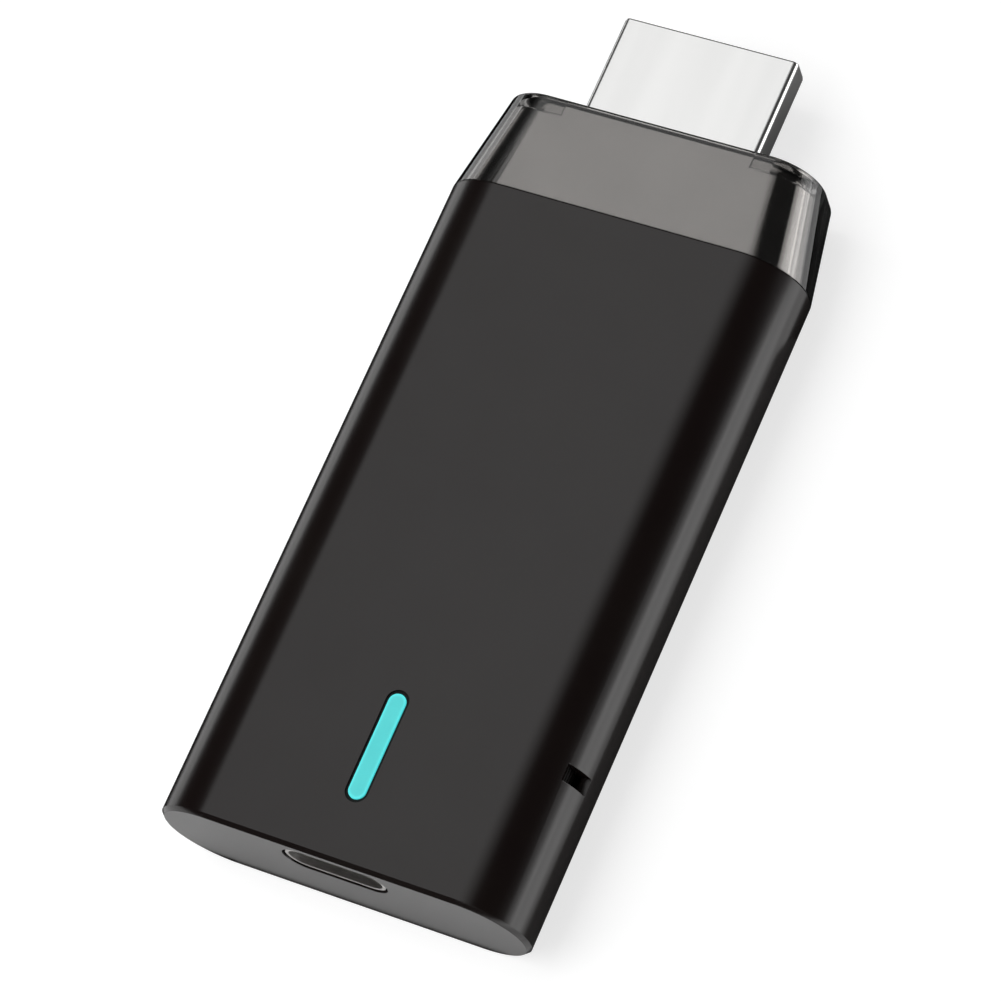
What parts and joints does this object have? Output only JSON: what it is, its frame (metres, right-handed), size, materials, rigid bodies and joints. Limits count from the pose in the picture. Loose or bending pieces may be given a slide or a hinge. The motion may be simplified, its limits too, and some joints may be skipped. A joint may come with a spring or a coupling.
{
  "type": "wireless display adapter",
  "caption": "Flat stick-shaped wireless display adapter with a clear tapering nose, a video plug, a lit bar, a small port in the plain end and a side key in a notch.",
  "frame": {"origin": "middle of the bounding box at the flat back", "axes": "+Z out of the front face, +Y toward the video plug, +X toward the side with the notch"},
  "size_m": [0.0284, 0.0684, 0.0095],
  "materials": {
    "housing_black": "gloss",
    "cap_smoke": "clear smoke gloss",
    "carrier_grey": "satin",
    "plug_metal": "satin plated",
    "insulator_black": "matte",
    "contact_gold": "plated",
    "bar_turquoise": "lit satin",
    "gasket_black": "matte",
    "lamp_white": "gloss",
    "port_metal": "satin",
    "tongue_grey": "matte",
    "key_black": "satin",
    "switch_black": "matte",
    "plunger_cream": "matte",
    "terminal_tin": "satin",
    "board_green": "satin mask",
    "chip_black": "matte",
    "pad_grey": "matte",
    "spreader_aluminium": "satin",
    "radio_blue": "satin mask",
    "shield_tin": "satin",
    "antenna_white": "matte",
    "crystal_steel": "satin",
    "ferrite_grey": "matte",
    "capacitor_tan": "satin",
    "resistor_black": "satin"
  },
  "bodies": {
    "housing_group": {"housing": "housing_black", "nose_cap": "cap_smoke", "plug_carrier": "carrier_grey", "plug_shell": "plug_metal", "plug_insulator": "insulator_black", "plug_contacts_front": "contact_gold", "plug_contacts_back": "contact_gold", "light_bar": "bar_turquoise", "light_gasket": "gasket_black", "status_lights": "lamp_white", "port_shell": "port_metal", "port_tongue": "tongue_grey", "port_contacts": "contact_gold", "switch_body": "switch_black", "switch_terminals": "terminal_tin", "main_board": "board_green", "processor": "chip_black", "thermal_pad": "pad_grey", "heat_spreader": "spreader_aluminium", "memory_chip": "chip_black", "radio_module": "radio_blue", "radio_shield": "shield_tin", "chip_antenna": "antenna_white", "crystal": "crystal_steel", "power_inductor": "ferrite_grey", "power_regulator": "chip_black", "capacitors": "capacitor_tan", "resistors": "resistor_black"},
    "side_key_group": {"side_key": "key_black"},
    "plunger_group": {"switch_plunger": "plunger_cream"}
  },
  "joints": [
    {"name": "side_key_press", "type": "slide", "parent": "housing_group", "child": "side_key_group", "axis": [-1, 0, 0], "range_m": [0, 0.0003], "stiffness_N_per_m": 400, "springref_m": -0.0006},
    {"name": "switch_plunger_press", "type": "slide", "parent": "housing_group", "child": "plunger_group", "axis": [-1, 0, 0], "range_m": [0, 0.0003]}
  ],
  "couplings": [
    {"joint": "switch_plunger_press", "follows": "side_key_press", "ratio": 1}
  ]
}
